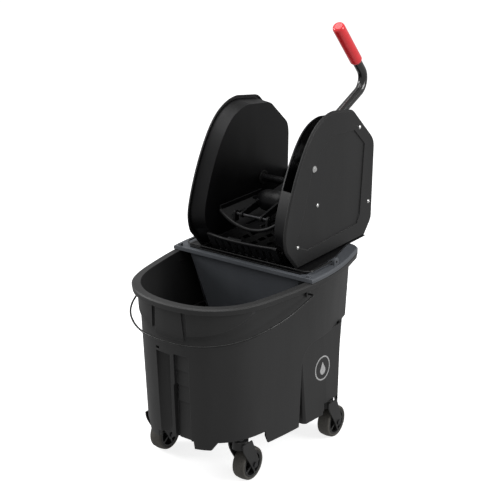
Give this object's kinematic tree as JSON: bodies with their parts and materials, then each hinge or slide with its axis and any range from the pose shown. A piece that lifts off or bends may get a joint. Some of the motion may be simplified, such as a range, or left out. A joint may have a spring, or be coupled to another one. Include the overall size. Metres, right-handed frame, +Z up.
{
  "type": "mop bucket with wringer",
  "caption": "Wheeled mop bucket with a rounded front, a lift-out dirty-water tub and a side-lever wringer that presses down.",
  "frame": {"origin": "centre of the bounding box in plan, at floor level under the casters", "axes": "+Z up, -Y towards the rounded front, +X towards the lever side"},
  "size_m": [0.4062, 0.6319, 0.9875],
  "materials": {
    "bucket_plastic": "fine-textured moulded polypropylene",
    "tub_plastic": "fine-textured moulded polypropylene, bluish grey",
    "wringer_plastic": "satin moulded plastic",
    "cover_plastic": "fine-textured moulded plastic",
    "bail_wire": "dark plated wire",
    "bright_steel": "bright plated",
    "zinc_steel": "zinc plated",
    "dark_steel": "black plated",
    "bush_plastic": "moulded acetal",
    "black_tube": "gloss black powder coat",
    "grip_red": "glossy moulded grip",
    "caster_plastic": "moulded nylon",
    "tyre": "grey-brown non-marking tread"
  },
  "bodies": {
    "bucket": {"bucket_shell": "bucket_plastic", "insert_tub": "tub_plastic", "insert_bail": "bail_wire", "wringer_base": "wringer_plastic", "right_housing": "wringer_plastic", "left_housing": "wringer_plastic", "right_cover": "cover_plastic", "left_cover": "cover_plastic", "right_cover_screws": "bright_steel", "left_cover_screws": "bright_steel", "right_shaft_bush": "bush_plastic", "left_shaft_bush": "bush_plastic", "lever_pivot": "bright_steel", "front_right_caster_stem": "zinc_steel", "front_left_caster_stem": "zinc_steel", "rear_right_caster_stem": "zinc_steel", "rear_left_caster_stem": "zinc_steel"},
    "bail": {"bucket_bail": "bail_wire"},
    "lever": {"lever_hub": "zinc_steel", "lever_crank_pin": "zinc_steel", "handle_tube": "black_tube", "handle_grip": "grip_red"},
    "link": {"link_bar": "zinc_steel"},
    "shaft": {"cross_shaft": "dark_steel", "shaft_crank": "zinc_steel", "shaft_crank_pin": "zinc_steel", "press_arm": "wringer_plastic"},
    "press": {"press_plate": "wringer_plastic", "press_rod": "dark_steel"},
    "front_right_fork": {"front_right_caster_fork": "caster_plastic", "front_right_caster_axle": "dark_steel"},
    "front_right_wheel": {"front_right_caster_hub": "caster_plastic", "front_right_caster_tyre": "tyre"},
    "front_left_fork": {"front_left_caster_fork": "caster_plastic", "front_left_caster_axle": "dark_steel"},
    "front_left_wheel": {"front_left_caster_hub": "caster_plastic", "front_left_caster_tyre": "tyre"},
    "rear_right_fork": {"rear_right_caster_fork": "caster_plastic", "rear_right_caster_axle": "dark_steel"},
    "rear_right_wheel": {"rear_right_caster_hub": "caster_plastic", "rear_right_caster_tyre": "tyre"},
    "rear_left_fork": {"rear_left_caster_fork": "caster_plastic", "rear_left_caster_axle": "dark_steel"},
    "rear_left_wheel": {"rear_left_caster_hub": "caster_plastic", "rear_left_caster_tyre": "tyre"}
  },
  "joints": [
    {"name": "lever_turn", "type": "hinge", "parent": "bucket", "child": "lever", "pos_m": [0, 0.053, 0.679], "axis": [1, 0, 0], "range_deg": [0, 75]},
    {"name": "shaft_turn", "type": "hinge", "parent": "bucket", "child": "shaft", "pos_m": [0, 0.19, 0.587], "axis": [1, 0, 0], "range_deg": [0, 20]},
    {"name": "link_turn", "type": "hinge", "parent": "lever", "child": "link", "pos_m": [0.1055, 0.07238, 0.69633], "axis": [1, 0, 0], "range_deg": [-75, 0]},
    {"name": "press_turn", "type": "hinge", "parent": "shaft", "child": "press", "pos_m": [0, 0.008, 0.553], "axis": [1, 0, 0], "range_deg": [-20, 0]},
    {"name": "bail_swing", "type": "hinge", "parent": "bucket", "child": "bail", "pos_m": [0, -0.036, 0.42], "axis": [-1, 0, 0], "range_deg": [0, 85]},
    {"name": "front_right_swivel", "type": "hinge", "parent": "bucket", "child": "front_right_fork", "pos_m": [0.121, -0.205, 0.11], "axis": [0, 0, 1], "continuous": true},
    {"name": "front_right_roll", "type": "hinge", "parent": "front_right_fork", "child": "front_right_wheel", "pos_m": [0.121, -0.177, 0.04], "axis": [1, 0, 0], "continuous": true},
    {"name": "front_left_swivel", "type": "hinge", "parent": "bucket", "child": "front_left_fork", "pos_m": [-0.121, -0.205, 0.11], "axis": [0, 0, 1], "continuous": true},
    {"name": "front_left_roll", "type": "hinge", "parent": "front_left_fork", "child": "front_left_wheel", "pos_m": [-0.121, -0.177, 0.04], "axis": [1, 0, 0], "continuous": true},
    {"name": "rear_right_swivel", "type": "hinge", "parent": "bucket", "child": "rear_right_fork", "pos_m": [0.165, 0.079, 0.11], "axis": [0, 0, 1], "continuous": true},
    {"name": "rear_right_roll", "type": "hinge", "parent": "rear_right_fork", "child": "rear_right_wheel", "pos_m": [0.165, 0.107, 0.04], "axis": [1, 0, 0], "continuous": true},
    {"name": "rear_left_swivel", "type": "hinge", "parent": "bucket", "child": "rear_left_fork", "pos_m": [-0.165, 0.079, 0.11], "axis": [0, 0, 1], "continuous": true},
    {"name": "rear_left_roll", "type": "hinge", "parent": "rear_left_fork", "child": "rear_left_wheel", "pos_m": [-0.165, 0.107, 0.04], "axis": [1, 0, 0], "continuous": true}
  ],
  "couplings": [
    {"joint": "shaft_turn", "follows": "lever_turn", "ratio": 0.26667},
    {"joint": "link_turn", "follows": "lever_turn", "ratio": -1},
    {"joint": "press_turn", "follows": "lever_turn", "ratio": -0.26667}
  ]
}
